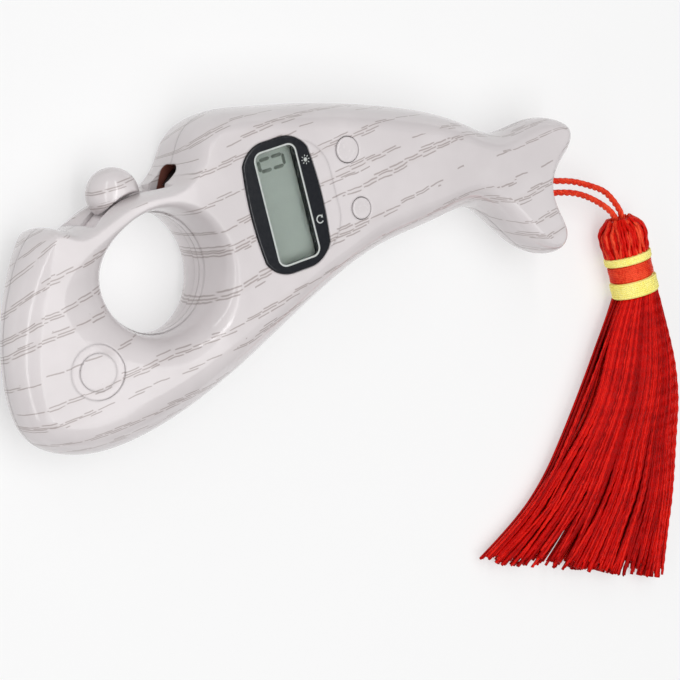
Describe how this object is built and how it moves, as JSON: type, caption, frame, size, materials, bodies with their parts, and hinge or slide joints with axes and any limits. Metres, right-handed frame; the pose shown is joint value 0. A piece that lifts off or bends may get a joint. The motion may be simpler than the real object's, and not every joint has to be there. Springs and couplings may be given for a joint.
{
  "type": "digital tasbih counter",
  "caption": "Whale-shaped hand counter worn on a finger: a sliding thumb bead adds to a small LCD, with round push buttons and a red tassel on a cord at the tail.",
  "frame": {"origin": "on the finger hole's axis, at the parting plane between the two shells", "axes": "+X along the body from the finger hole to the tail, +Y across it towards the thumb bead, +Z out of the display face; it lies on its rear face"},
  "size_m": [0.136, 0.1147, 0.0181],
  "materials": {
    "printed_shell": "glossy off-white with a fine printed wood grain",
    "bezel_black": "glossy near-black",
    "clear_pane": "clear polished plastic",
    "lcd_glass": "grey-green reflective display",
    "button_white": "plain off-white, satin",
    "inner_white": "plain white moulded",
    "slider_brown": "dark brown, satin",
    "silk_red": "deep red silk thread",
    "silk_yellow": "pale yellow binding thread",
    "cord_red": "red twisted cord",
    "board_green": "solder-masked board",
    "epoxy_black": "black epoxy",
    "zebra_rubber": "soft striped rubber",
    "guide_clear": "frosted clear plastic",
    "spring_metal": "thin plated spring strip",
    "cell_steel": "bright nickel-plated steel",
    "screw_steel": "zinc-plated steel"
  },
  "bodies": {
    "case": {"front_shell": "printed_shell", "rear_shell": "printed_shell", "display_bezel": "bezel_black", "display_window": "clear_pane", "lcd_panel": "lcd_glass", "lcd_frame": "inner_white", "zebra_strips": "zebra_rubber", "light_guide": "guide_clear", "backlight_lamp": "inner_white", "circuit_board": "board_green", "controller_blob": "epoxy_black", "light_switch": "epoxy_black", "reset_switch": "epoxy_black", "count_leaf": "spring_metal", "count_contact": "spring_metal", "coin_cell": "cell_steel", "cell_spring": "spring_metal", "cell_rim_contact": "spring_metal", "battery_door": "printed_shell", "battery_door_screw": "screw_steel", "case_screws": "screw_steel", "board_screws": "screw_steel", "cord_pin": "screw_steel", "tassel_cord": "cord_red", "tassel_head": "silk_red", "tassel_band_upper": "silk_yellow", "tassel_wrap": "silk_red", "tassel_band_lower": "silk_yellow", "tassel_skirt": "silk_red"},
    "bead": {"thumb_bead": "printed_shell", "bead_slider": "slider_brown"},
    "light_key": {"light_button": "button_white", "light_plunger": "inner_white"},
    "reset_key": {"reset_button": "button_white", "reset_plunger": "inner_white"}
  },
  "joints": [
    {"name": "bead_count", "type": "hinge", "parent": "case", "child": "bead", "pos_m": [0, 0, 0], "axis": [0, 0, 1], "range_deg": [-14, 0], "stiffness_Nm_per_rad": 0.05, "springref_deg": 5.73, "deforming": ["count_leaf"]},
    {"name": "light_press", "type": "slide", "parent": "case", "child": "light_key", "axis": [0, 0, -1], "range_m": [0, 0.00035], "stiffness_N_per_m": 200, "springref_m": -0.0005},
    {"name": "reset_press", "type": "slide", "parent": "case", "child": "reset_key", "axis": [0, 0, -1], "range_m": [0, 0.00035], "stiffness_N_per_m": 200, "springref_m": -0.0005}
  ]
}
